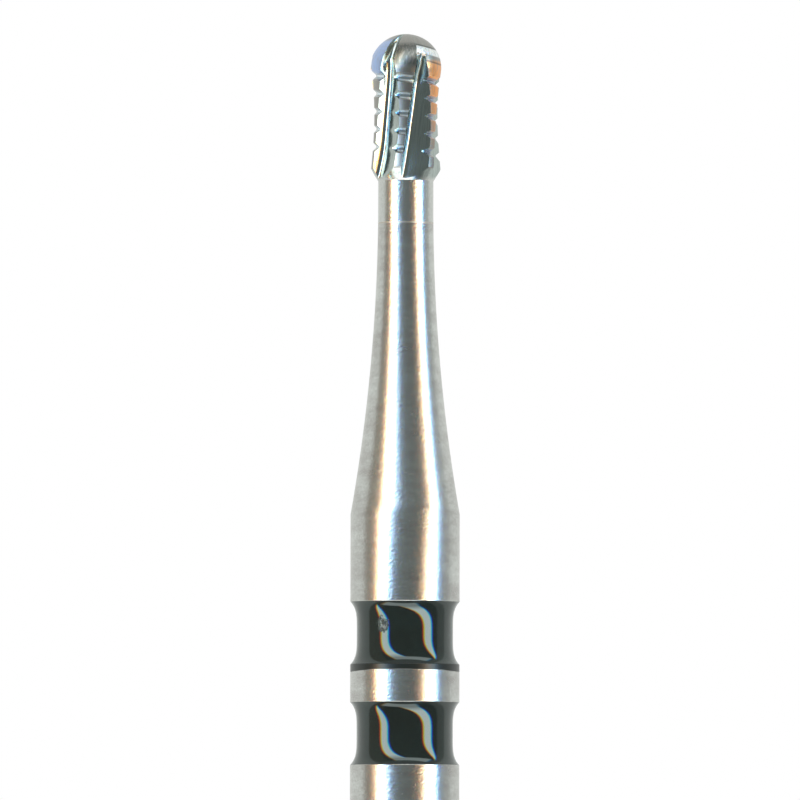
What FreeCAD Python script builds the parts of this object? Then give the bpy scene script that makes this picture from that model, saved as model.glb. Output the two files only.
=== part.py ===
# A friction-grip dental bur: a domed, cross-cut carbide head on a slim flared steel shank
# with two lacquered rings. Lengths are in millimetres, angles in degrees.
# The origin is the centre of the shank's flat end, and +Z runs along the axis to the tip.
import FreeCAD, Part
import os
from math import acos, cos, degrees, radians, sin, sqrt, tan

# The whole bur
overall_length = 19.0
axis_up = FreeCAD.Vector(0, 0, 1)
origin = FreeCAD.Vector(0, 0, 0)

# Head, measured down from the tip
dome_radius = 0.532
head_length = 1.98            # tip to the heel edge of the blades
heel_radius = 0.52
waist_radius = 0.495          # the blades are slimmest between dome and heel
waist_depth = 1.27
back_cone_length = 0.19       # from the heel edge down to the neck
tip_flat_radius = 0.03

# Blades: right-hand helix, each cutting edge on the right of its land
blade_count = 6
blade_lead = 22.0             # height of one full turn of a blade
blade_turn_at_heel = -98.05   # direction of one cutting edge at the heel, from +X towards +Y
land_relief = 0.015           # how far the land falls from its edge to its back
land_width = 17.0             # turn that a land takes

# Flutes: the wheel cuts them to one radius along the head and rises out of them at the heel
flute_radius = 0.355          # from the bur's axis to where rake face and floor would meet
flute_corner_radius = 0.08    # between the rake face and the flute's floor
flute_floor_hollow = 0.012    # how far the floor dips below a straight line
flute_full_depth = 0.42       # below the tip, where the flutes reach their radius
flute_share_at_tip = 0.45     # of the dome's own radius, left at the tip
flute_exit_depth = 1.56       # below the tip, where the wheel begins to rise
flute_wheel_radius = 2.40
rake_width_at_dome = 8.5      # turn that the face in front of an edge takes
rake_width_at_heel = -1.0     # there it leans back under its edge

# Cross-cuts: one left-hand groove that notches the lands
groove_pitch = 0.261
groove_start = 0.538          # below the tip, where the groove runs in
groove_length = 1.294
groove_start_turn = 75.0      # direction in which it runs in
groove_root_radius = 0.437    # from the bur's axis
groove_root_width = 0.022
groove_angle = 80.0

# Neck and its joint, measured down from the tip
neck_radius = 0.405
joint_depth = 2.775           # upper face of the braze
braze_thickness = 0.025
flare_start = 2.51
flare_radius = 26.4           # the long hollow curve from neck to shank

# Shank
shank_radius = 0.80
end_chamfer_height = 0.35
end_chamfer_inset = 0.20

# Colour rings, measured down from the tip to the middle of each
ring_middles = {"colour_ring_upper": 8.80, "colour_ring_lower": 10.27}
ring_width = 0.91
ring_seat_depth = 0.16        # of the square groove turned in the steel
ring_hollow = 0.091           # how far the lacquer lies below the shank at its middle
ring_hollow_power = 4.5       # 2 would be a round hollow, and more is flatter with steeper edges

tip_height = overall_length
heel_height = overall_length - head_length
cone_end_height = heel_height - back_cone_length
joint_height = overall_length - joint_depth
flare_start_height = overall_length - flare_start


def point(radius, turn, height):
    return FreeCAD.Vector(radius * cos(radians(turn)), radius * sin(radians(turn)), height)


def in_plane(radius, height):
    return FreeCAD.Vector(radius, 0, height)


def line(start, end):
    return Part.makeLine(start, end)


def arc(start, middle, end):
    return Part.Arc(start, middle, end).toShape()


def turned(edges):
    # A half outline in the XZ plane, closed along the axis, turned into a solid
    face = Part.Face(Part.Wire(edges))
    return face.revolve(origin, axis_up, 360)


def head_radius_at(depth):
    # The outline that the cutting edges keep: a dome, then a slight waist down to the heel
    if depth < dome_radius:
        return sqrt(dome_radius ** 2 - (dome_radius - depth) ** 2)
    if depth < waist_depth:
        share = (waist_depth - depth) / (waist_depth - dome_radius)
        return waist_radius + (dome_radius - waist_radius) * share ** 2
    share = (depth - waist_depth) / (head_length - waist_depth)
    return waist_radius + (heel_radius - waist_radius) * share ** 2


def flute_radius_at(depth):
    # Shallow towards the tip, even along the head, and rising at the heel
    if depth < flute_full_depth:
        full_share = flute_radius / head_radius_at(flute_full_depth)
        share = flute_share_at_tip + (full_share - flute_share_at_tip) * depth / flute_full_depth
        return share * head_radius_at(depth)
    rise = max(0, depth - flute_exit_depth) ** 2 / (2 * flute_wheel_radius)
    return flute_radius + rise


def rake_width_at(depth):
    along = max(0, (depth - dome_radius) / (head_length - dome_radius))
    return rake_width_at_dome + (rake_width_at_heel - rake_width_at_dome) * along


def rounded_corner(before, corner, after, radius):
    # The start, middle and end of the arc that rounds a corner
    back = (before - corner).normalize()
    ahead = (after - corner).normalize()
    half_angle = back.getAngle(ahead) / 2
    inward = (back + ahead).normalize()
    reach = radius / tan(half_angle)
    middle = corner + inward * (radius / sin(half_angle) - radius)
    return corner + back * reach, middle, corner + ahead * reach


def blade_section(radius, depth):
    # One cross-section of the fluted head: rake face, corner, floor and land for each blade
    height = overall_length - depth
    pitch = 360.0 / blade_count
    turn = blade_turn_at_heel + 360.0 * (height - heel_height) / blade_lead
    scale = radius / heel_radius
    bottom = flute_radius_at(depth)
    land_back = radius - land_relief * scale
    land_middle = radius - land_relief * scale * 0.4
    edges = []
    for blade in range(blade_count):
        edge_turn = turn + pitch * blade
        next_turn = edge_turn + pitch
        cutting_edge = point(radius, edge_turn, height)
        corner = point(bottom, edge_turn + rake_width_at(depth), height)
        back = point(land_back, next_turn - land_width, height)
        corner_start, corner_middle, floor_start = rounded_corner(
            cutting_edge, corner, back, flute_corner_radius * scale)
        floor_middle = (floor_start + back) / 2
        outward = FreeCAD.Vector(floor_middle.x, floor_middle.y, 0).normalize()
        land_turn = next_turn - land_width / 2
        edges.append(line(cutting_edge, corner_start))
        edges.append(arc(corner_start, corner_middle, floor_start))
        edges.append(arc(floor_start, floor_middle - outward * flute_floor_hollow * scale, back))
        edges.append(arc(back, point(land_middle, land_turn, height), point(radius, next_turn, height)))
    return Part.Wire(edges)


def section_depths():
    # Close together on the dome, then even down to below the back cone
    dome_steps = 7
    flat_turn = degrees(acos(tip_flat_radius / dome_radius))
    depths = []
    for step in range(dome_steps + 1):
        turn = flat_turn * (1 - step / dome_steps)
        depths.append(dome_radius * (1 - sin(radians(turn))))
    body_steps = 6
    for step in range(1, body_steps + 1):
        depths.append(dome_radius + (head_length - dome_radius) * step / body_steps)
    return depths


def fluted_body():
    sections = [blade_section(head_radius_at(depth), depth) for depth in section_depths()]
    sections.append(blade_section(heel_radius, head_length + back_cone_length * 1.3))
    return Part.makeLoft(sections, True, False)


def head_blank():
    # What the blades are ground from: wide above, with the back cone below
    reach = dome_radius * 1.4
    slope = back_cone_length / (heel_radius - neck_radius)
    shoulder = cone_end_height + (reach - neck_radius) * slope
    outline = [in_plane(0, cone_end_height), in_plane(neck_radius, cone_end_height),
               in_plane(reach, shoulder), in_plane(reach, tip_height), in_plane(0, tip_height)]
    outline.append(outline[0])
    return turned(Part.makePolygon(outline).Edges)


def cross_cut_groove():
    reach = heel_radius + 0.025
    half_root = groove_root_width / 2
    half_mouth = half_root + (reach - groove_root_radius) * tan(radians(groove_angle / 2))
    path = Part.makeHelix(groove_pitch, groove_length, groove_root_radius, 0, True)
    outline = [in_plane(groove_root_radius, -half_root), in_plane(reach, -half_mouth),
               in_plane(reach, half_mouth), in_plane(groove_root_radius, half_root)]
    outline.append(outline[0])
    sweep = Part.BRepOffsetAPI.MakePipeShell(path)
    sweep.setFrenetMode(True)
    sweep.add(Part.makePolygon(outline))
    sweep.build()
    sweep.makeSolid()
    groove = sweep.shape()
    groove_end_turn = groove_start_turn + 360.0 * groove_length / groove_pitch
    groove.rotate(origin, axis_up, groove_end_turn)
    groove.translate(axis_up * (overall_length - groove_start - groove_length))
    return groove


def neck_and_shank_form():
    # The whole turned form below the head's cone, before it is parted at the joint
    drop = flare_radius - (shank_radius - neck_radius)
    flare_length = sqrt(flare_radius ** 2 - drop ** 2)
    flare_end_height = flare_start_height - flare_length
    middle_length = flare_length / 2
    middle_radius = neck_radius + flare_radius - sqrt(flare_radius ** 2 - middle_length ** 2)
    foot = in_plane(0, 0)
    foot_edge = in_plane(shank_radius - end_chamfer_inset, 0)
    chamfer_top = in_plane(shank_radius, end_chamfer_height)
    flare_end = in_plane(shank_radius, flare_end_height)
    flare_middle = in_plane(middle_radius, flare_start_height - middle_length)
    flare_top = in_plane(neck_radius, flare_start_height)
    neck_top = in_plane(neck_radius, cone_end_height)
    top = in_plane(0, cone_end_height)
    return turned([line(foot, foot_edge), line(foot_edge, chamfer_top), line(chamfer_top, flare_end),
                   arc(flare_end, flare_middle, flare_top), line(flare_top, neck_top),
                   line(neck_top, top), line(top, foot)])


def slab(lowest, highest):
    return Part.makeCylinder(shank_radius * 2, highest - lowest, in_plane(0, lowest), axis_up)


def cutting_head():
    head = fluted_body().common(head_blank())
    head = head.cut(cross_cut_groove())
    stub = neck_and_shank_form().common(slab(joint_height, tip_height))
    return head.fuse(stub).removeSplitter()


def braze_joint():
    return neck_and_shank_form().common(slab(joint_height - braze_thickness, joint_height))


def ring_seat(middle_height):
    lowest = middle_height - ring_width / 2
    outer = Part.makeCylinder(shank_radius * 2, ring_width, in_plane(0, lowest), axis_up)
    core = Part.makeCylinder(shank_radius - ring_seat_depth, ring_width, in_plane(0, lowest), axis_up)
    return outer.cut(core)


def steel_shank():
    steel = neck_and_shank_form().common(slab(0, joint_height - braze_thickness))
    for depth in ring_middles.values():
        steel = steel.cut(ring_seat(overall_length - depth))
    return steel


def lacquer_radius_at(share):
    # Share is 0 at the middle of a ring and 1 at its edges
    return shank_radius - ring_hollow * (1 - share ** ring_hollow_power)


def colour_ring(middle_height):
    # Lacquer that fills a square groove and sinks to a hollow with steep edges
    seat_radius = shank_radius - ring_seat_depth
    half_width = ring_width / 2
    steps = 12
    surface = []
    for step in range(-steps, steps + 1):
        share = step / steps
        surface.append(in_plane(lacquer_radius_at(abs(share)), middle_height + half_width * share))
    hollow = Part.BSplineCurve()
    hollow.interpolate(surface)
    seat_bottom = in_plane(seat_radius, middle_height - half_width)
    seat_top = in_plane(seat_radius, middle_height + half_width)
    return turned([line(seat_bottom, surface[0]), hollow.toShape(),
                   line(surface[-1], seat_top), line(seat_top, seat_bottom)])


def build():
    parts = {"cutting_head": cutting_head(), "braze_joint": braze_joint(), "shank": steel_shank()}
    for name, depth in ring_middles.items():
        parts[name] = colour_ring(overall_length - depth)
    return parts


os.makedirs("parts", exist_ok=True)
for name, shape in build().items():
    shape.exportStep("parts/" + name + ".step")
    print(name, shape.ShapeType, len(shape.Solids), shape.isValid(), round(shape.Volume, 4))
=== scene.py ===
import bpy
import bmesh
from math import cos, pi, radians, sin, sqrt, tan
from mathutils import Matrix, Vector


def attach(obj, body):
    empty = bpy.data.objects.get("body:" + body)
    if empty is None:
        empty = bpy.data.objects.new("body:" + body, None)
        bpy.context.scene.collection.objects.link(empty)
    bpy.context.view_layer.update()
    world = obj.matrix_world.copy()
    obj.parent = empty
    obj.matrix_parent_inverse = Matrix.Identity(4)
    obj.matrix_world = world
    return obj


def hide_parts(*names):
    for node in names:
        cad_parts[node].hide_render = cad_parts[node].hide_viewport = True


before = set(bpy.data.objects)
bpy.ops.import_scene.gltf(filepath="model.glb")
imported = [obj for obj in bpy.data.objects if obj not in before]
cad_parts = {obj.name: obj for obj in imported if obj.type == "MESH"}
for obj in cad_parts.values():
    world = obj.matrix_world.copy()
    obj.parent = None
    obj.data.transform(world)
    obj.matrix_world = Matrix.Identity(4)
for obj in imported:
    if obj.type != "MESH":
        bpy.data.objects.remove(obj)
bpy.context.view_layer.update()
print("frame loaded:", sorted(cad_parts))

# Lengths in the dictionaries are in millimetres, and heights are above the shank's end
mm = 0.001
tau = 2 * pi
bur = {"length": 19.0, "segments": 192, "smoothUpTo": radians(28)}


def feed(tree, socket, value):
    if isinstance(value, Term):
        value = value.socket
    if isinstance(value, bpy.types.NodeSocket):
        tree.links.new(value, socket)
    else:
        socket.default_value = value


class Term:
    # One number in a node tree, so that a formula is written as it is read
    def __init__(self, tree, socket):
        self.tree, self.socket = tree, socket

    def make(self, operation, *values):
        node = self.tree.nodes.new("ShaderNodeMath")
        node.operation = operation
        for socket, value in zip(node.inputs, values):
            feed(self.tree, socket, value)
        return Term(self.tree, node.outputs[0])

    def __add__(self, other):
        return self.make("ADD", self, other)

    def __radd__(self, other):
        return self.make("ADD", other, self)

    def __sub__(self, other):
        return self.make("SUBTRACT", self, other)

    def __rsub__(self, other):
        return self.make("SUBTRACT", other, self)

    def __mul__(self, other):
        return self.make("MULTIPLY", self, other)

    def __rmul__(self, other):
        return self.make("MULTIPLY", other, self)

    def __truediv__(self, other):
        return self.make("DIVIDE", self, other)

    def __rtruediv__(self, other):
        return self.make("DIVIDE", other, self)

    def __neg__(self):
        return self.make("MULTIPLY", self, -1.0)

    def sine(self):
        return self.make("SINE", self)

    def cosine(self):
        return self.make("COSINE", self)

    def arcSine(self):
        return self.make("ARCSINE", self)

    def arcCosine(self):
        return self.make("ARCCOSINE", self)

    def turnFrom(self, other):
        return self.make("ARCTAN2", self, other)

    def root(self):
        return self.make("SQRT", self)

    def floor(self):
        return self.make("FLOOR", self)

    def size(self):
        return self.make("ABSOLUTE", self)

    def atLeast(self, other):
        return self.make("MAXIMUM", self, other)

    def atMost(self, other):
        return self.make("MINIMUM", self, other)

    def below(self, other):
        return self.make("LESS_THAN", self, other)

    def share(self):
        return self.atLeast(0.0).atMost(1.0)


def addNode(tree, kind, values=None, **settings):
    node = tree.nodes.new(kind)
    for name, value in settings.items():
        setattr(node, name, value)
    for name, value in (values or {}).items():
        feed(tree, node.inputs[name], value)
    return node


def shaderOf(name):
    material = bpy.data.materials.new(name)
    material.use_nodes = True
    return material, material.node_tree, material.node_tree.nodes["Principled BSDF"]


def placeInMillimetres(tree, stretch=(1, 1, 1)):
    coordinates = addNode(tree, "ShaderNodeTexCoord").outputs["Object"]
    mapping = addNode(tree, "ShaderNodeMapping", {"Vector": coordinates,
                      "Scale": tuple(part / mm for part in stretch)})
    return mapping.outputs["Vector"]


def axesOf(tree, vector):
    axes = addNode(tree, "ShaderNodeSeparateXYZ", {0: vector})
    return [Term(tree, axes.outputs[axis]) for axis in "XYZ"]


def noiseAt(tree, place, detail=3.0, roughness=0.6):
    node = addNode(tree, "ShaderNodeTexNoise", {"Vector": place, "Scale": 1.0, "Detail": detail,
                   "Roughness": roughness, "Distortion": 0.0})
    return Term(tree, node.outputs["Factor"] if "Factor" in node.outputs else node.outputs[0])


def noise(tree, waves, detail=3.0, roughness=0.6):
    # Waves are counted per millimetre along X, Y and Z
    return noiseAt(tree, placeInMillimetres(tree, waves), detail, roughness)


def spread(term, lowest, highest):
    # Stretches a band of a value to the whole of 0 to 1
    return ((term - lowest) / (highest - lowest)).share()


def between(term, low, high, soft):
    # 1 from low to high, with soft ends
    return ((term - low) / soft + 0.5).share() * ((high - term) / soft + 0.5).share()


def blendColours(tree, share, first, second):
    node = tree.nodes.new("ShaderNodeMix")
    node.data_type = "RGBA"
    feed(tree, node.inputs[0], share)
    feed(tree, node.inputs[6], first)
    feed(tree, node.inputs[7], second)
    return node.outputs[2]


def bump(tree, height, strength, distance, normal=None):
    values = {"Height": height, "Strength": strength, "Distance": distance}
    if normal is not None:
        values["Normal"] = normal
    return addNode(tree, "ShaderNodeBump", values).outputs["Normal"]


# Two of these colours paint faint flecks of shade and glint into the ground steel
steelLook = {"colour": (0.60, 0.625, 0.60, 1), "dull": (0.47, 0.47, 0.45, 1),
             "shadeFleck": (0.26, 0.25, 0.23, 1), "glintFleck": (0.95, 0.95, 0.93, 1),
             "speck": (0.20, 0.19, 0.17, 1), "mottle": 0.12, "specks": 0.55,
             "roughness": 0.25, "patchRoughness": 0.12, "speckRoughness": 0.15,
             "anisotropy": 0.15, "ior": 1.5, "scratchDepth": 0.0000016, "grainDepth": 0.0000028,
             "scratchWaves": (1.2, 1.2, 34.0), "scratchStrength": 0.5, "grainWaves": (24, 24, 36),
             "patchWaves": (1.6, 1.6, 5.0), "patchBand": (0.35, 0.7),
             "speckWaves": (9, 9, 9), "speckBand": (0.66, 0.72),
             "mottleWaves": (20, 20, 26), "pitBand": (0.50, 0.36), "brightBand": (0.56, 0.66)}
# Lacquer that ran over the lower edge of the upper ring's groove
overflow = {"top": 9.7455, "margin": 0.01, "depth": 0.085, "sag": 0.035, "wobble": 0.05,
            "fade": 0.012, "roughness": 0.30, "thickness": 0.000004, "strength": 0.6,
            "waves": (1.4, 1.4, 1.4)}


def mottled(tree, colour, share):
    # Faint dark and bright flecks on ground metal: painted shade and painted glints that stand in for its
    # speckled reflections
    mottle = noise(tree, steelLook["mottleWaves"], 3.0, 0.7)
    amount = steelLook["mottle"] * share
    colour = blendColours(tree, spread(mottle, *steelLook["pitBand"]) * amount, colour,
                          steelLook["shadeFleck"])
    return blendColours(tree, spread(mottle, *steelLook["brightBand"]) * amount, colour,
                        steelLook["glintFleck"])


def makeSteel():
    look = steelLook
    material, tree, shader = shaderOf("groundSteel")
    patches = noise(tree, look["patchWaves"])
    specks = spread(noise(tree, look["speckWaves"], 5.0, 0.7), *look["speckBand"])
    colour = blendColours(tree, spread(patches, *look["patchBand"]), look["colour"], look["dull"])
    # painted flecks of shade and glint
    colour = mottled(tree, colour, 1.0)
    colour = blendColours(tree, specks * look["specks"], colour, look["speck"])

    x, y, z = axesOf(tree, placeInMillimetres(tree))
    side = x / shank["radius"]
    wander = (noise(tree, overflow["waves"]) - 0.5) * overflow["wobble"]
    lowest = overflow["top"] - overflow["depth"] - side * side * overflow["sag"] + wander
    covered = spread(z, lowest, lowest + overflow["fade"])
    covered = covered * z.below(overflow["top"] + overflow["margin"])
    bare = 1.0 - covered
    colour = blendColours(tree, covered, colour, lacquerLook["colour"])
    rough = look["roughness"] + (patches - 0.5) * look["patchRoughness"]
    rough = rough + specks * look["speckRoughness"]

    feed(tree, shader.inputs["Base Color"], colour)
    feed(tree, shader.inputs["Metallic"], bare)
    feed(tree, shader.inputs["Roughness"], rough * bare + covered * overflow["roughness"])
    shader.inputs["Anisotropic"].default_value = look["anisotropy"]
    shader.inputs["IOR"].default_value = look["ior"]
    tangent = addNode(tree, "ShaderNodeTangent", direction_type="RADIAL", axis="Z")
    feed(tree, shader.inputs["Tangent"], tangent.outputs[0])
    relief = bump(tree, noise(tree, look["grainWaves"]) * bare, 1.0, look["grainDepth"])
    scratches = noise(tree, look["scratchWaves"], 4.0, 0.65)
    relief = bump(tree, scratches * bare, look["scratchStrength"], look["scratchDepth"], relief)
    relief = bump(tree, covered, overflow["strength"], overflow["thickness"], relief)
    feed(tree, shader.inputs["Normal"], relief)
    return material


lacquerLook = {"colour": (0.010, 0.0155, 0.0135, 1), "worn": (0.0085, 0.0105, 0.0085, 1),
               "chip": (0.22, 0.25, 0.24, 1), "gloss": (0.84, 1.0, 0.98, 1), "ior": 1.65,
               "sheen": 0.22, "sheenRoughness": 0.30, "sheenTint": (0.80, 1.0, 0.92, 1),
               "roughness": 0.06, "grainRoughness": 0.05, "chipRoughness": 0.35,
               "cloudWaves": (2, 2, 2), "cloudBand": (0.35, 0.7), "waveDepth": 0.000004,
               "waveStrength": 0.2, "grainWaves": (26, 26, 26), "grainBand": (0.6, 0.75)}
# A small chip on the front of the upper ring
chip = {"x": -0.315, "z": 10.315, "width": 0.078, "height": 0.125, "ragged": 1.8,
        "waves": (22, 22, 16), "edgeBand": (0.75, 0.95), "flakeBand": (0.45, 0.6),
        "depth": 0.00004}


def makeLacquer():
    look = lacquerLook
    material, tree, shader = shaderOf("darkLacquer")
    cloud = noise(tree, look["cloudWaves"])
    grains = noise(tree, look["grainWaves"], 2.0)
    colour = blendColours(tree, spread(cloud, *look["cloudBand"]), look["colour"], look["worn"])

    x, y, z = axesOf(tree, placeInMillimetres(tree))
    aside, up = (x - chip["x"]) / chip["width"], (z - chip["z"]) / chip["height"]
    crumbs = noise(tree, chip["waves"])
    reach = (aside * aside + up * up).root() + (crumbs - 0.5) * chip["ragged"]
    chipped = (1.0 - spread(reach, *chip["edgeBand"])) * y.below(0.0)
    flakes = chipped * spread(crumbs, *chip["flakeBand"])
    colour = blendColours(tree, flakes, colour, look["chip"])
    rough = look["roughness"] + spread(grains, *look["grainBand"]) * look["grainRoughness"]

    feed(tree, shader.inputs["Base Color"], colour)
    feed(tree, shader.inputs["Roughness"], rough + flakes * look["chipRoughness"])
    shader.inputs["IOR"].default_value = look["ior"]
    shader.inputs["Specular Tint"].default_value = look["gloss"]
    shader.inputs["Sheen Weight"].default_value = look["sheen"]
    shader.inputs["Sheen Roughness"].default_value = look["sheenRoughness"]
    shader.inputs["Sheen Tint"].default_value = look["sheenTint"]
    relief = bump(tree, cloud, look["waveStrength"], look["waveDepth"])
    relief = bump(tree, chipped * crumbs, 1.0, chip["depth"], relief)
    feed(tree, shader.inputs["Normal"], relief)
    return material


brazeLook = {"pale": (0.66, 0.64, 0.58, 1), "dull": (0.54, 0.52, 0.46, 1),
             "waves": (14, 14, 30), "band": (0.35, 0.7), "roughness": 0.28, "grainRoughness": 0.2}


def makeBraze():
    look = brazeLook
    material, tree, shader = shaderOf("paleBraze")
    grain = noise(tree, look["waves"])
    colour = blendColours(tree, spread(grain, *look["band"]), look["pale"], look["dull"])
    feed(tree, shader.inputs["Base Color"], colour)
    shader.inputs["Metallic"].default_value = 1.0
    feed(tree, shader.inputs["Roughness"], look["roughness"] + grain * look["grainRoughness"])
    return material


# Bands are depths below the tip, with their softness last. Pairs of shares are the least one,
# and what a grinding stripe adds to it
# Several colours here are painted light: the bright root and pale ones are painted highlights, the notch
# and shade ones painted shade, the blue one a painted reflection and the orange one a painted glint
carbideLook = {"floor": (0.46, 0.525, 0.50, 1), "land": (0.375, 0.37, 0.345, 1),
               "dark": (0.24, 0.27, 0.26, 1), "root": (0.80, 0.90, 0.95, 1),
               "notchShade": (0.17, 0.21, 0.32, 1), "warmGlint": (1.0, 0.47, 0.19, 1),
               "shade": (0.10, 0.12, 0.11, 1), "coolReflection": (0.42, 0.58, 0.92, 1),
               "pale": (0.95, 1.0, 1.0, 1), "streakWaves": (42.0, 42.0, 2.6),
               "streakBand": (0.45, 0.75), "stripeBand": (0.35, 0.55), "streakDepth": 0.0000014,
               "cloudWaves": (4, 4, 2.2), "floorRoughness": 0.17, "landRoughness": 0.34,
               "streakRoughness": 0.16, "cloudRoughness": 0.06, "leastRoughness": 0.06,
               "warmStart": (0.39, 0.45), "warmEnd": (1.0, 1.75), "shadeBand": (0.17, 0.50, 0.06),
               "coolBand": (0.10, 0.62, 0.05), "endingBand": (0.30, 0.74, 0.06),
               "endingFrom": (0.13, 0.17), "paleBand": (0.20, 0.30, 0.02), "paleSlope": 0.2,
               "upperLine": (0.175, 0.195, 0.012), "lowerLine": (0.385, 0.41, 0.02),
               "darkShare": 0.6, "shadeShares": (0.35, 0.4), "coolShares": (0.5, 0.4),
               "warmShares": (0.40, 0.60), "paleShares": (0.5, 0.5), "palePivot": 0.18,
               "flankShare": 0.6, "rootShare": 0.9, "notchRoot": 0.7, "notchFlank": 0.45,
               "endingShare": 0.8, "lineShare": 0.75, "rootRoughness": 0.2,
               "flankRoughness": 0.15, "endingRoughness": 0.2, "streakStrength": 0.5,
               "neckBand": (2.10, 2.16), "neckRoughness": 0.08}
# How closely the shares find the forms, in parts of a blade's turn or in millimetres
formEdges = {"land": 0.01, "edgeBand": (0.985, 0.995), "warmEdge": 0.03, "heel": 0.02,
             "shortEnd": 0.02, "grooveFrom": 0.5, "root": 0.008, "flank": 0.018}


def bladePlaces(x, y, depth):
    # Shares that tell where a point of the head lies
    away = (x * x + y * y).root()
    turn = y.turnFrom(x) - head["Turn At Heel"]
    turn = turn - (head["Head Length"] - depth) * (tau / head["Blade Lead"])
    unrolled = turn * (head["Blades"] / tau)
    blade = unrolled.floor()
    across = unrolled - blade     # 0 at a cutting edge, then rake face, floor, land and 1 at the next edge
    halves = blade * 0.5
    short = 1.0 - (halves - halves.floor()) * 2.0
    landFrom = 1.0 - landWidthAt(depth, head.get, short) * (head["Blades"] / tau)
    onHead = depth.below(head["Head Length"] + formEdges["heel"])
    land = spread(across, landFrom - formEdges["land"], landFrom + formEdges["land"])
    land = land * (1.0 - spread(across, *formEdges["edgeBand"])) * onHead
    land = land.atLeast(short * depth.below(head["Short Start"] + formEdges["shortEnd"]))
    grooved = land * (formEdges["grooveFrom"] - depth).below(0.0) * onHead
    root = grooved * away.below(head["Groove Root"] + formEdges["root"])
    flank = grooved * away.below(head["Waist Radius"] - formEdges["flank"]) * (1.0 - root)
    return blade, across, short, landFrom, land, root, flank


def striped(stripes, shares):
    return shares[0] + stripes * shares[1]


def makeCarbide():
    look = carbideLook
    material, tree, shader = shaderOf("groundCarbide")
    x, y, z = axesOf(tree, placeInMillimetres(tree))
    depth = bur["length"] - z
    blade, across, short, landFrom, land, root, flank = bladePlaces(x, y, depth)
    front = blade.size().below(0.5)

    # Grinding streaks follow the blades
    untwist = addNode(tree, "ShaderNodeVectorRotate", {"Vector": placeInMillimetres(tree),
                      "Angle": z * (-tau / head["Blade Lead"])}, rotation_type="Z_AXIS")
    stretched = addNode(tree, "ShaderNodeMapping", {"Vector": untwist.outputs[0],
                        "Scale": look["streakWaves"]})
    streaks = noiseAt(tree, stretched.outputs[0])
    stripes = spread(streaks, *look["stripeBand"])
    clouds = noise(tree, look["cloudWaves"])
    colour = blendColours(tree, land, look["floor"], look["land"])
    colour = blendColours(tree, spread(streaks, *look["streakBand"]) * look["darkShare"], colour,
                          look["dark"])

    # Single lands carry painted light: painted shade left of the front land, a painted blue reflection
    # next to it, and a painted warm glint on the front one
    shaded = (blade + 1.0).size().below(0.5) * land * between(depth, *look["shadeBand"])
    colour = blendColours(tree, shaded * striped(stripes, look["shadeShares"]), colour, look["shade"])
    # painted blue reflection on the second land to the left
    coolReflection = (blade + 2.0).size().below(0.5) * land * between(depth, *look["coolBand"])
    colour = blendColours(tree, coolReflection * striped(stripes, look["coolShares"]), colour, look["coolReflection"])
    # painted warm glint on the front land
    warmGlint = front * land
    warmGlint = warmGlint * spread(across, landFrom - formEdges["land"], landFrom + formEdges["warmEdge"])
    warmGlint = warmGlint * spread(depth, *look["warmStart"]) * (1.0 - spread(depth, *look["warmEnd"]))
    warmGlint = warmGlint * (1.0 - root)
    colour = blendColours(tree, warmGlint * striped(stripes, look["warmShares"]), colour, look["warmGlint"])

    # The cross-cuts: painted highlights at their roots and flanks, and painted shade in them on the front
    # blade. The short flutes' ends: painted shade, and more roughness
    # painted highlight at the roots and flanks of the cross-cuts
    colour = blendColours(tree, flank * look["flankShare"], colour, look["root"])
    colour = blendColours(tree, root * look["rootShare"], colour, look["root"])
    # painted shade in the cross-cuts of the front blade
    notchShade = (root * look["notchRoot"] + flank * look["notchFlank"]) * front
    colour = blendColours(tree, notchShade, colour, look["notchShade"])
    # painted shade at the ends of the short flutes, which are also rougher
    ending = short * (1.0 - land) * between(depth, *look["endingBand"])
    ending = ending * spread(across, *look["endingFrom"])
    colour = blendColours(tree, ending * look["endingShare"], colour, look["shade"])

    # On the dome, a painted highlight as a pale streaked band, with a painted shade line above and below
    # it
    sloped = depth - (x - look["palePivot"]) * look["paleSlope"]
    domed = front * land
    pale = domed * between(sloped, *look["paleBand"]) * striped(stripes, look["paleShares"])
    colour = blendColours(tree, pale, colour, look["pale"])
    # painted shade lines
    shadeLines = between(sloped, *look["upperLine"]).atLeast(between(sloped, *look["lowerLine"]))
    colour = blendColours(tree, domed * shadeLines * look["lineShare"], colour, look["shade"])

    # The stub of neck is ground like the steel below it, with the same painted flecks of shade and glint
    neck = spread(depth, *look["neckBand"])
    colour = mottled(tree, blendColours(tree, neck, colour, steelLook["colour"]), neck)
    rough = look["floorRoughness"] + land * (look["landRoughness"] - look["floorRoughness"])
    rough = rough + (streaks - 0.5) * look["streakRoughness"]
    rough = rough + (clouds - 0.5) * look["cloudRoughness"]
    rough = rough - root * look["rootRoughness"] + flank * look["flankRoughness"]
    rough = rough + ending * look["endingRoughness"] + neck * look["neckRoughness"]

    feed(tree, shader.inputs["Base Color"], colour)
    shader.inputs["Metallic"].default_value = 1.0
    feed(tree, shader.inputs["Roughness"], rough.atLeast(look["leastRoughness"]))
    relief = bump(tree, streaks * (1.0 - neck), look["streakStrength"], look["streakDepth"])
    grain = noise(tree, steelLook["grainWaves"])
    feed(tree, shader.inputs["Normal"],
         bump(tree, grain * neck, 1.0, steelLook["grainDepth"], relief))
    return material


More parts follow.
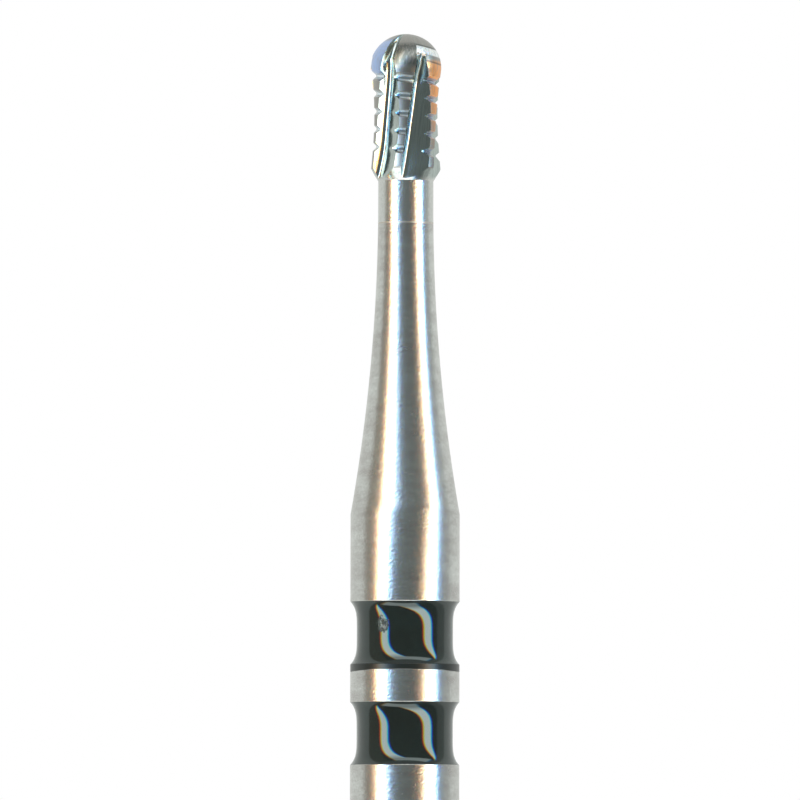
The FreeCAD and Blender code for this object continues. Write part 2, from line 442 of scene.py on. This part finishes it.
def turnedMesh(name, outline, scale=mm):
    # Turns a list of (radius, height) points, from below upwards, round the axis
    shape = bmesh.new()
    count = bur["segments"]
    rows = []
    for radius, height in outline:
        if radius < 1e-6:
            rows.append([shape.verts.new((0, 0, height * scale))])
            continue
        rows.append([shape.verts.new((radius * scale * cos(tau * k / count),
                                      radius * scale * sin(tau * k / count), height * scale))
                     for k in range(count)])
    hollow = len(rows[0]) > 1     # a ring's outline closes on itself and not on the axis
    pairs = list(zip(rows, rows[1:])) + ([(rows[-1], rows[0])] if hollow else [])
    for low, high in pairs:
        for k in range(count):
            n = (k + 1) % count
            if len(low) == 1:
                shape.faces.new((low[0], high[n], high[k]))
            elif len(high) == 1:
                shape.faces.new((low[k], low[n], high[0]))
            else:
                shape.faces.new((low[k], low[n], high[n], high[k]))
    bmesh.ops.recalc_face_normals(shape, faces=shape.faces)
    mesh = bpy.data.meshes.new(name)
    shape.to_mesh(mesh)
    shape.free()
    return mesh


def shadeByAngle(mesh, limit):
    shape = bmesh.new()
    shape.from_mesh(mesh)
    for face in shape.faces:
        face.smooth = True
    for edge in shape.edges:
        edge.smooth = len(edge.link_faces) == 2 and edge.calc_face_angle() < limit
    shape.to_mesh(mesh)
    shape.free()


def addPiece(name, mesh, material, node):
    piece = bpy.data.objects.new(name, mesh)
    bpy.context.scene.collection.objects.link(piece)
    mesh.materials.clear()
    mesh.materials.append(material)
    shadeByAngle(mesh, bur["smoothUpTo"])
    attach(piece, "root")
    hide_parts(node)
    print("piece", name, len(mesh.polygons), "faces")
    return piece


shank = {"radius": 0.80, "neckRadius": 0.405, "flareTop": 16.49, "flareRadius": 26.4,
         "flareSteps": 40, "top": 16.20, "chamferHeight": 0.35, "chamferInset": 0.20, "lip": 0.008}
rings = {"middles": {"lowerRing": 8.73, "upperRing": 10.20}, "width": 0.91, "seatDepth": 0.16,
         "hollow": 0.091, "power": 4.5, "steps": 28}
braze = {"top": 16.225}


def flareRadiusAt(height):
    drop = max(0.0, shank["flareTop"] - height)
    return shank["neckRadius"] + shank["flareRadius"] - sqrt(shank["flareRadius"] ** 2 - drop ** 2)


def shankOutline():
    radius, lip = shank["radius"], shank["lip"]
    seat = radius - rings["seatDepth"]
    outline = [(0, 0), (radius - shank["chamferInset"], 0), (radius, shank["chamferHeight"])]
    for middle in rings["middles"].values():     # each groove has slightly rounded lips
        low, high = middle - rings["width"] / 2, middle + rings["width"] / 2
        outline += [(radius, low - lip), (radius - lip * 0.4, low - lip * 0.3), (radius - lip, low),
                    (seat, low), (seat, high),
                    (radius - lip, high), (radius - lip * 0.4, high + lip * 0.3), (radius, high + lip)]
    widest = shank["flareRadius"] - (radius - shank["neckRadius"])
    flareLength = sqrt(shank["flareRadius"] ** 2 - widest ** 2)
    for step in range(shank["flareSteps"]):
        height = shank["flareTop"] - flareLength * (1 - step / shank["flareSteps"])
        if height < shank["top"]:
            outline.append((flareRadiusAt(height), height))
    outline += [(flareRadiusAt(shank["top"]), shank["top"]), (0, shank["top"])]
    return outline


def ringOutline(middle):
    # The lacquer's hollow is flat in the middle and steep at its edges
    radius, half, steps = shank["radius"] - shank["lip"] * 0.5, rings["width"] / 2, rings["steps"]
    seat = shank["radius"] - rings["seatDepth"]
    outline = [(seat, middle - half)]
    for step in range(-steps, steps + 1):
        share = sin(step / steps * pi / 2)
        hollow = rings["hollow"] * (1 - abs(share) ** rings["power"])
        outline.append((radius - hollow, middle + half * share))
    return outline + [(seat, middle + half)]


def brazeOutline():
    low, high = shank["top"], braze["top"]
    return [(0, low), (flareRadiusAt(low), low), (flareRadiusAt(high), high), (0, high)]


# Each name is an input of the head's node tree, and depths run down from the tip
head = {"Blades": 6, "Dome Radius": 0.532, "Tip Flat": 0.03, "Head Length": 1.98,
        "Heel Radius": 0.52, "Waist Radius": 0.495, "Waist Depth": 1.27, "Blade Lead": 22.0,
        "Turn At Heel": radians(-98.05), "Land Relief": 0.004, "Tip Relief": 0.022,
        "Land Width": radians(12.0), "Land Widening": radians(26.0),
        "Short Widening": radians(4.0), "Widening Depth": 1.72, "Short Start": 0.33,
        "Short Length": 0.27, "Flute Radius": 0.355, "Corner Radius": 0.08, "Floor Hollow": -0.008,
        "Full Depth": 0.42, "Share At Tip": 0.45, "Exit Depth": 1.56, "Wheel Radius": 2.40,
        "Rake At Dome": radians(8.5), "Rake At Heel": radians(1.5), "Section End": 2.227,
        "Tail": 0.7, "Groove Pitch": 0.261, "Groove Start": 0.538, "Groove Length": 1.294,
        "Groove Turn": radians(75.0), "Groove Root": 0.437, "Groove Root Width": 0.022,
        "Groove Slope": tan(radians(40.0)), "Groove Reach": 0.545}
headSteps = {"Rake Steps": 6, "Corner Steps": 6, "Floor Steps": 14, "Land Steps": 8,
             "Dome Rows": 30, "Body Rows": 44, "Exit Rows": 10, "Groove Steps": 480}
headBlank = {"coneLength": 0.19, "reach": 0.728, "top": 0.3, "jointDepth": 2.775,
             "mergeWithin": 0.00005}


def addInputs(tree, names, kind):
    return {name: tree.interface.new_socket(name=name, in_out="INPUT", socket_type=kind)
            for name in names}


def wideningAt(depth, value):
    # The lands are narrow at the heel and widen towards the tip
    lowest = value("Widening Depth")
    share = ((lowest - depth) / (lowest - value("Full Depth"))).share()
    return share * share


def landWidthAt(depth, value, short):
    widest = value("Land Widening") + value("Short Widening") * short
    return value("Land Width") + widest * wideningAt(depth, value)


def less(p, q):
    return p[0] - q[0], p[1] - q[1]


def plus(p, q):
    return p[0] + q[0], p[1] + q[1]


def times(p, k):
    return p[0] * k, p[1] * k


def unit(p):
    return times(p, 1.0 / (p[0] * p[0] + p[1] * p[1]).root())


def turned(length, turn):
    return length * turn.cosine(), length * turn.sine()


def edgeRadiusAt(depth, domeTurn, value):
    # The outline that the cutting edges keep: a dome, then a slight waist down to the heel
    domeRadius, waistRadius = value("Dome Radius"), value("Waist Radius")
    waistDepth = value("Waist Depth")
    above = ((waistDepth - depth) / (waistDepth - domeRadius)).share()
    below = ((depth - waistDepth) / (value("Head Length") - waistDepth)).share()
    waist = (waistRadius + (domeRadius - waistRadius) * above * above
             + (value("Heel Radius") - waistRadius) * below * below)
    return domeRadius * domeTurn.cosine() + waist - domeRadius


def fluteRadiusAt(depth, radius, value):
    # Shallow towards the tip, even along the head, and rising where the wheel leaves at the heel
    domeRadius, fullDepth = value("Dome Radius"), value("Full Depth")
    fluteRadius, tipShare = value("Flute Radius"), value("Share At Tip")
    fullDrop = domeRadius - fullDepth
    fullRadius = (domeRadius * domeRadius - fullDrop * fullDrop).root()
    share = tipShare + (fluteRadius / fullRadius - tipShare) * (depth / fullDepth)
    rise = (depth - value("Exit Depth")).atLeast(0.0)
    return (fluteRadius + (share * radius - fluteRadius) * depth.below(fullDepth)
            + rise * rise / (2.0 * value("Wheel Radius")))


def bladeSector(tree, value, short):
    # A grid whose rows run from tip to neck and whose columns run across one blade
    rake, corner = value("Rake Steps"), value("Corner Steps")
    floor, land = value("Floor Steps"), value("Land Steps")
    columns = rake + corner + floor + land + 1.0
    dome, body, out = value("Dome Rows"), value("Body Rows"), value("Exit Rows")
    rows = dome + body + out + 4.0     # with a point at each end, a row of tip and a row of tail
    grid = addNode(tree, "GeometryNodeMeshGrid", {"Vertices X": rows, "Vertices Y": columns,
                   "Size X": 1.0, "Size Y": 1.0})
    index = Term(tree, addNode(tree, "GeometryNodeInputIndex").outputs[0])
    row = ((index + 0.5) / columns).floor()
    column = index - row * columns

    domeRadius, headLength = value("Dome Radius"), value("Head Length")
    flatTurn = (value("Tip Flat") / domeRadius).arcCosine()
    domeTurn = flatTurn * (1.0 - ((row - 1.0) / dome).share())
    bodyShare = ((row - 1.0 - dome) / body).share()
    outShare = ((row - 1.0 - dome - body) / out).share()
    tailShare = (row - 1.0 - dome - body - out).share()
    depth = (domeRadius * (1.0 - domeTurn.sine()) + (headLength - domeRadius) * bodyShare
             + (value("Section End") - headLength) * outShare)
    radius = edgeRadiusAt(depth, domeTurn, value)
    scale = radius / value("Heel Radius")
    bottom = fluteRadiusAt(depth, radius, value)
    opened = 1.0
    if short:
        opened = ((depth - value("Short Start")) / value("Short Length")).share()
        bottom = bottom + (radius - bottom) * (1.0 - opened) * (1.0 - opened)
    along = ((depth - domeRadius) / (headLength - domeRadius)).atLeast(0.0)
    rakeWidth = value("Rake At Dome") + (value("Rake At Heel") - value("Rake At Dome")) * along
    landWidth = landWidthAt(depth, value, float(short))
    relief = value("Land Relief") + value("Tip Relief") * wideningAt(depth, value) * opened
    relief = relief * scale
    backTurn = tau / value("Blades") - landWidth

    # Cutting edge, foot of the rake face, and back of the next land
    edge = (radius, 0.0)
    foot = turned(bottom, rakeWidth)
    back = turned(radius - relief, backTurn)
    up, ahead = unit(less(edge, foot)), unit(less(back, foot))
    together = up[0] * ahead[0] + up[1] * ahead[1]
    crossed = (up[0] * ahead[1] - up[1] * ahead[0]).size()
    reach = value("Corner Radius") * scale * (1.0 + together) / crossed
    cornerStart, floorStart = plus(foot, times(up, reach)), plus(foot, times(ahead, reach))

    # From the edge down the rake face, round the corner, over the floor and along the land
    first = (column / rake).share()
    second = ((column - rake) / corner).share()
    third = ((column - rake - corner) / floor).share()
    fourth = ((column - rake - corner - floor) / land).share()
    place = plus(edge, times(less(cornerStart, edge), first))
    place = plus(place, times(less(foot, cornerStart), 2.0 * second * (1.0 - second)))
    place = plus(place, times(less(floorStart, cornerStart), second * second))
    place = plus(place, times(less(back, floorStart), third))
    outward = unit(plus(floorStart, back))
    hollow = value("Floor Hollow") * scale * 4.0 * third * (1.0 - third)
    place = less(place, times(outward, hollow))
    landRadius = radius - relief * (1.0 - 1.4 * fourth + 0.4 * fourth * fourth)
    place = plus(place, less(turned(landRadius, backTurn + landWidth * fourth), back))

    # The section turns with the helix, and both ends close to a point
    height = depth + value("Tail") * tailShare
    turn = value("Turn At Heel") + tau * (headLength - height) / value("Blade Lead")
    closing = row.share() * (rows - 1.0 - row).share()
    x = (place[0] * turn.cosine() - place[1] * turn.sine()) * closing
    y = (place[0] * turn.sine() + place[1] * turn.cosine()) * closing
    where = addNode(tree, "ShaderNodeCombineXYZ", {"X": x, "Y": y, "Z": -height})
    moved = addNode(tree, "GeometryNodeSetPosition", {"Geometry": grid.outputs["Mesh"],
                    "Position": where.outputs[0]})
    return moved.outputs[0]


def crossCutCutter(tree, value):
    # A left-hand thread of V section that passes through the lands
    line = addNode(tree, "GeometryNodeCurvePrimitiveLine")
    line = addNode(tree, "GeometryNodeResampleCurve", {"Curve": line.outputs[0],
                   "Count": value("Groove Steps")})
    index = Term(tree, addNode(tree, "GeometryNodeInputIndex").outputs[0])
    along = index / (value("Groove Steps") - 1.0)
    turn = value("Groove Turn") + tau * along * value("Groove Length") / value("Groove Pitch")
    root = value("Groove Root")
    x, y = turned(root, turn)
    where = addNode(tree, "ShaderNodeCombineXYZ", {"X": x, "Y": y,
                    "Z": -(value("Groove Start") + value("Groove Length") * along)})
    helix = addNode(tree, "GeometryNodeSetPosition", {"Geometry": line.outputs[0],
                    "Position": where.outputs[0]})
    level = addNode(tree, "GeometryNodeSetCurveNormal", {"Curve": helix.outputs[0]}, mode="Z_UP")
    halfRoot = value("Groove Root Width") / 2.0
    deep = value("Groove Reach") - root
    halfMouth = halfRoot + deep * value("Groove Slope")
    outline = addNode(tree, "GeometryNodeCurvePrimitiveQuadrilateral", mode="POINTS")
    corners = [(0.0, -halfRoot), (deep, -halfMouth), (deep, halfMouth), (0.0, halfRoot)]
    for number, (out, up) in enumerate(corners):
        at = addNode(tree, "ShaderNodeCombineXYZ", {"X": out, "Y": up})
        feed(tree, outline.inputs["Point " + str(number + 1)], at.outputs[0])
    cutter = addNode(tree, "GeometryNodeCurveToMesh", {"Curve": level.outputs[0],
                     "Profile Curve": outline.outputs[0], "Fill Caps": True})
    return cutter.outputs[0]


def headTree():
    tree = bpy.data.node_groups.new("flutedHead", "GeometryNodeTree")
    tree.interface.new_socket(name="Blank", in_out="INPUT", socket_type="NodeSocketGeometry")
    tree.interface.new_socket(name="Head", in_out="OUTPUT", socket_type="NodeSocketGeometry")
    sockets = addInputs(tree, [name for name in head if name != "Blades"], "NodeSocketFloat")
    sockets.update(addInputs(tree, ["Blades", *headSteps], "NodeSocketInt"))
    sockets.update(addInputs(tree, ["Finish"], "NodeSocketMaterial"))
    given = addNode(tree, "NodeGroupInput")
    mergeWithin = headBlank["mergeWithin"]

    def value(name):
        return Term(tree, given.outputs[name])

    # Every second flute is short: it runs out on the dome, and the others reach the tip
    spokes = addNode(tree, "GeometryNodeMeshLine", {"Count": value("Blades") / 2.0,
                     "Offset": (0, 0, 0)})
    number = Term(tree, addNode(tree, "GeometryNodeInputIndex").outputs[0])
    joined = addNode(tree, "GeometryNodeJoinGeometry")
    for short, offset in ((True, 0.0), (False, 1.0)):
        turn = addNode(tree, "ShaderNodeCombineXYZ",
                       {"Z": (number * 2.0 + offset) * tau / value("Blades")})
        around = addNode(tree, "GeometryNodeInstanceOnPoints", {"Points": spokes.outputs[0],
                         "Instance": bladeSector(tree, value, short), "Rotation": turn.outputs[0]})
        tree.links.new(around.outputs[0], joined.inputs[0])
    solid = addNode(tree, "GeometryNodeRealizeInstances", {"Geometry": joined.outputs[0]})
    solid = addNode(tree, "GeometryNodeMergeByDistance", {"Geometry": solid.outputs[0],
                    "Distance": mergeWithin})
    solid = addNode(tree, "GeometryNodeFlipFaces", {"Mesh": solid.outputs[0]})
    ground = addNode(tree, "GeometryNodeMeshBoolean", operation="INTERSECT", solver="EXACT")
    feed(tree, ground.inputs["Mesh 2"], given.outputs["Blank"])
    feed(tree, ground.inputs["Mesh 2"], solid.outputs[0])
    cut = addNode(tree, "GeometryNodeMeshBoolean", operation="DIFFERENCE", solver="EXACT")
    feed(tree, cut.inputs["Mesh 1"], ground.outputs["Mesh"])
    feed(tree, cut.inputs["Mesh 2"], crossCutCutter(tree, value))
    clean = addNode(tree, "GeometryNodeMergeByDistance", {"Geometry": cut.outputs["Mesh"],
                    "Distance": mergeWithin})
    placed = addNode(tree, "GeometryNodeTransform", {"Geometry": clean.outputs[0],
                     "Translation": (0, 0, bur["length"] * mm), "Scale": (mm, mm, mm)})
    whole = addNode(tree, "GeometryNodeRealizeInstances", {"Geometry": placed.outputs[0]})
    dressed = addNode(tree, "GeometryNodeSetMaterial", {"Geometry": whole.outputs[0],
                      "Material": given.outputs["Finish"]})
    result = addNode(tree, "NodeGroupOutput")
    feed(tree, result.inputs[0], dressed.outputs[0])
    return tree, sockets


def blankOutline():
    # What the blades are ground from, in millimetres above the tip, so mostly below zero
    heel, neck, reach = head["Heel Radius"], shank["neckRadius"], headBlank["reach"]
    coneEnd = -(head["Head Length"] + headBlank["coneLength"])
    shoulder = coneEnd + (reach - neck) * headBlank["coneLength"] / (heel - neck)
    bottom, flareTop = -headBlank["jointDepth"], shank["flareTop"] - bur["length"]
    outline = [(0, bottom)]
    for height in (bottom, bottom * 0.66 + flareTop * 0.34, bottom * 0.33 + flareTop * 0.67):
        outline.append((flareRadiusAt(bur["length"] + height), height))
    return outline + [(neck, flareTop), (neck, coneEnd), (reach, shoulder),
                      (reach, headBlank["top"]), (0, headBlank["top"])]


def makeHead(finish):
    blank = bpy.data.objects.new("headBlank", turnedMesh("headBlank", blankOutline(), 1.0))
    bpy.context.scene.collection.objects.link(blank)
    tree, sockets = headTree()
    modifier = blank.modifiers.new("flutedHead", "NODES")
    modifier.node_group = tree
    for name, number in [*head.items(), *headSteps.items()]:
        modifier[sockets[name].identifier] = number
    modifier[sockets["Finish"].identifier] = finish
    ready = blank.evaluated_get(bpy.context.evaluated_depsgraph_get())
    mesh = bpy.data.meshes.new_from_object(ready)
    blank.modifiers.clear()
    bpy.data.objects.remove(blank)
    mesh.name = "carbideHead"
    return mesh


carbide = makeCarbide()
steel = makeSteel()
lacquer = makeLacquer()
print("finishes made")
addPiece("carbideHead", makeHead(carbide), carbide, "cutting_head")
addPiece("brazeLine", turnedMesh("brazeLine", brazeOutline()), makeBraze(), "braze_joint")
addPiece("steelShank", turnedMesh("steelShank", shankOutline()), steel, "shank")
for name, node in (("lowerRing", "colour_ring_lower"), ("upperRing", "colour_ring_upper")):
    ringMesh = turnedMesh(name, ringOutline(rings["middles"][name]))
    addPiece(name, ringMesh, lacquer, node)


# Brightness of each part of the studio. Fringe and edge are in degrees
light = {"strip": 6.5, "join": 2.6, "fringe": 2.8, "edge": 3.0, "back": 0.86, "left": 0.32,
         "right": 0.5, "front": 0.19, "above": 0.50, "below": 0.45}
tints = {"left": (1.08, 1.0, 0.86), "right": (0.98, 1.0, 0.97), "front": (0.90, 1.0, 0.98),
         "back": (1.0, 1.01, 0.985)}
# Where each part begins, in degrees from the camera, and how softly
zones = {"behindLeft": (95.0, 4.0), "behindRight": (109.0, 4.0), "besideLeft": (58.0, 8.0),
         "besideRight": (84.0, 6.0), "above": (62.0, 10.0), "below": (64.0, 10.0)}
# Two leaning strips, joined by dimmer bands: edges at eye level, and what a degree of rise adds
strips = {"left": {"outer": -60.5, "outerLean": 0.5, "inner": -41.0, "innerLean": 0.72},
          "right": {"outer": 67.0, "outerLean": 0.55, "inner": 44.5, "innerLean": 0.9}}
joins = {"top": {"from": -28.0, "to": 78.0, "low": 43.0, "high": 60.0},
         "bottom": {"from": -72.0, "to": 42.0, "low": -66.0, "high": -49.0}}
joinEdge = {"sides": 12.0, "ends": 5.0}
bend = {"from": 20.0, "share": 0.02, "taper": 0.013, "dimFrom": 28.0, "dimOver": 20.0,
        "joined": 60.0, "free": 51.0, "edge": 6.0}


def step(term, start, width):
    return ((term - start) / width + 0.5).share()


def stripLevel(azimuth, elevation, strip, sign):
    # Sign is 1 where the upper end bends to the join and -1 where the lower one does
    rise = elevation * sign
    past = (rise - bend["from"]).atLeast(0.0)
    thin = (-rise - bend["from"]).atLeast(0.0)
    outer = strip["outer"] + elevation * strip["outerLean"]
    inner = strip["inner"] + elevation * strip["innerLean"]
    inner = inner + past * past * (bend["share"] * sign) - thin * thin * (bend["taper"] * sign)
    across = between(azimuth * sign, outer * sign, inner * sign, light["edge"])
    along = between(rise, -bend["free"], bend["joined"], bend["edge"])
    dimmed = ((rise - bend["dimFrom"]) / bend["dimOver"]).share()
    return across * along * (light["strip"] - dimmed * (light["strip"] - light["join"]))


def joinLevel(azimuth, elevation, join):
    return (between(azimuth, join["from"], join["to"], joinEdge["sides"])
            * between(elevation, join["low"], join["high"], joinEdge["ends"]) * light["join"])


def makeWorld():
    world = bpy.data.worlds.new("studio")
    bpy.context.scene.world = world
    world.use_nodes = True
    tree = world.node_tree
    background = tree.nodes["Background"]
    x, y, z = axesOf(tree, addNode(tree, "ShaderNodeTexCoord").outputs["Generated"])
    azimuth = x.turnFrom(-y) * (360.0 / tau)
    elevation = z.arcSine() * (360.0 / tau)
    besideLeft, besideRight = step(-azimuth, *zones["besideLeft"]), step(azimuth, *zones["besideRight"])
    behind = step(-azimuth, *zones["behindLeft"]).atLeast(step(azimuth, *zones["behindRight"]))
    high, low = step(elevation, *zones["above"]), step(-elevation, *zones["below"])

    # Red and blue are shifted a little sideways, which gives the reflections their fringes
    levels = []
    for channel, shift in enumerate((light["fringe"], 0.0, -light["fringe"])):
        left, right, front, back = (light[name] * tints[name][channel]
                                    for name in ("left", "right", "front", "back"))
        level = front + besideLeft * (left - front)
        level = level + besideRight * (right - level)
        level = level + high * (light["above"] - level)
        level = level + low * (light["below"] - level)
        level = level + behind * (back - level)
        moved = azimuth + shift
        for shown in (stripLevel(moved, elevation, strips["left"], 1.0),
                      stripLevel(moved, elevation, strips["right"], -1.0),
                      joinLevel(moved, elevation, joins["top"]),
                      joinLevel(moved, elevation, joins["bottom"])):
            level = level.atLeast(shown)
        levels.append(level)
    colour = addNode(tree, "ShaderNodeCombineColor", dict(zip(("Red", "Green", "Blue"), levels)))
    seen = addNode(tree, "ShaderNodeLightPath").outputs["Is Camera Ray"]
    feed(tree, background.inputs["Color"], blendColours(tree, seen, colour.outputs[0], (1, 1, 1, 1)))
    background.inputs["Strength"].default_value = 1.0


# The floor is in metres
floorLook = {"pale": (0.80, 0.80, 0.80, 1), "dull": (0.77, 0.77, 0.765, 1), "waves": (0.02, 0.02, 0.02),
             "roughness": 0.7, "radius": 0.6, "segments": 96}


def makeFloor():
    look = floorLook
    material, tree, shader = shaderOf("paleFloor")
    colour = blendColours(tree, noise(tree, look["waves"], 2.0), look["pale"], look["dull"])
    feed(tree, shader.inputs["Base Color"], colour)
    shader.inputs["Roughness"].default_value = look["roughness"]
    shape = bmesh.new()
    bmesh.ops.create_circle(shape, cap_ends=True, segments=look["segments"], radius=look["radius"])
    mesh = bpy.data.meshes.new("floor")
    shape.to_mesh(mesh)
    shape.free()
    floor = bpy.data.objects.new("floor", mesh)
    bpy.context.scene.collection.objects.link(floor)
    mesh.materials.append(material)
    floor.visible_glossy = False      # the steel shows the studio below it, as the photograph does


eye = {"target": (-0.0790, 0.0, 13.62), "elevation": -2.75, "distance": 150.0, "viewWidth": 11.73,
       "roll": 0.12, "sensor": 36.0, "nearest": 0.001, "furthest": 10.0}


def makeCamera():
    data = bpy.data.cameras.new("eye")
    camera = bpy.data.objects.new("eye", data)
    bpy.context.scene.collection.objects.link(camera)
    bpy.context.scene.camera = camera
    lift = radians(eye["elevation"])
    away = Vector((0, -cos(lift), sin(lift))) * eye["distance"] * mm
    camera.location = Vector(eye["target"]) * mm + away
    camera.rotation_mode = "QUATERNION"
    facing = (-away).to_track_quat("-Z", "Y")
    camera.rotation_quaternion = facing @ Matrix.Rotation(radians(eye["roll"]), 3, "Z").to_quaternion()
    data.sensor_width = eye["sensor"]
    data.lens = eye["sensor"] * eye["distance"] / eye["viewWidth"]
    data.clip_start, data.clip_end = eye["nearest"], eye["furthest"]


makeWorld()
makeFloor()
makeCamera()
bpy.context.scene.view_settings.view_transform = "Standard"
print("light, floor and camera set")
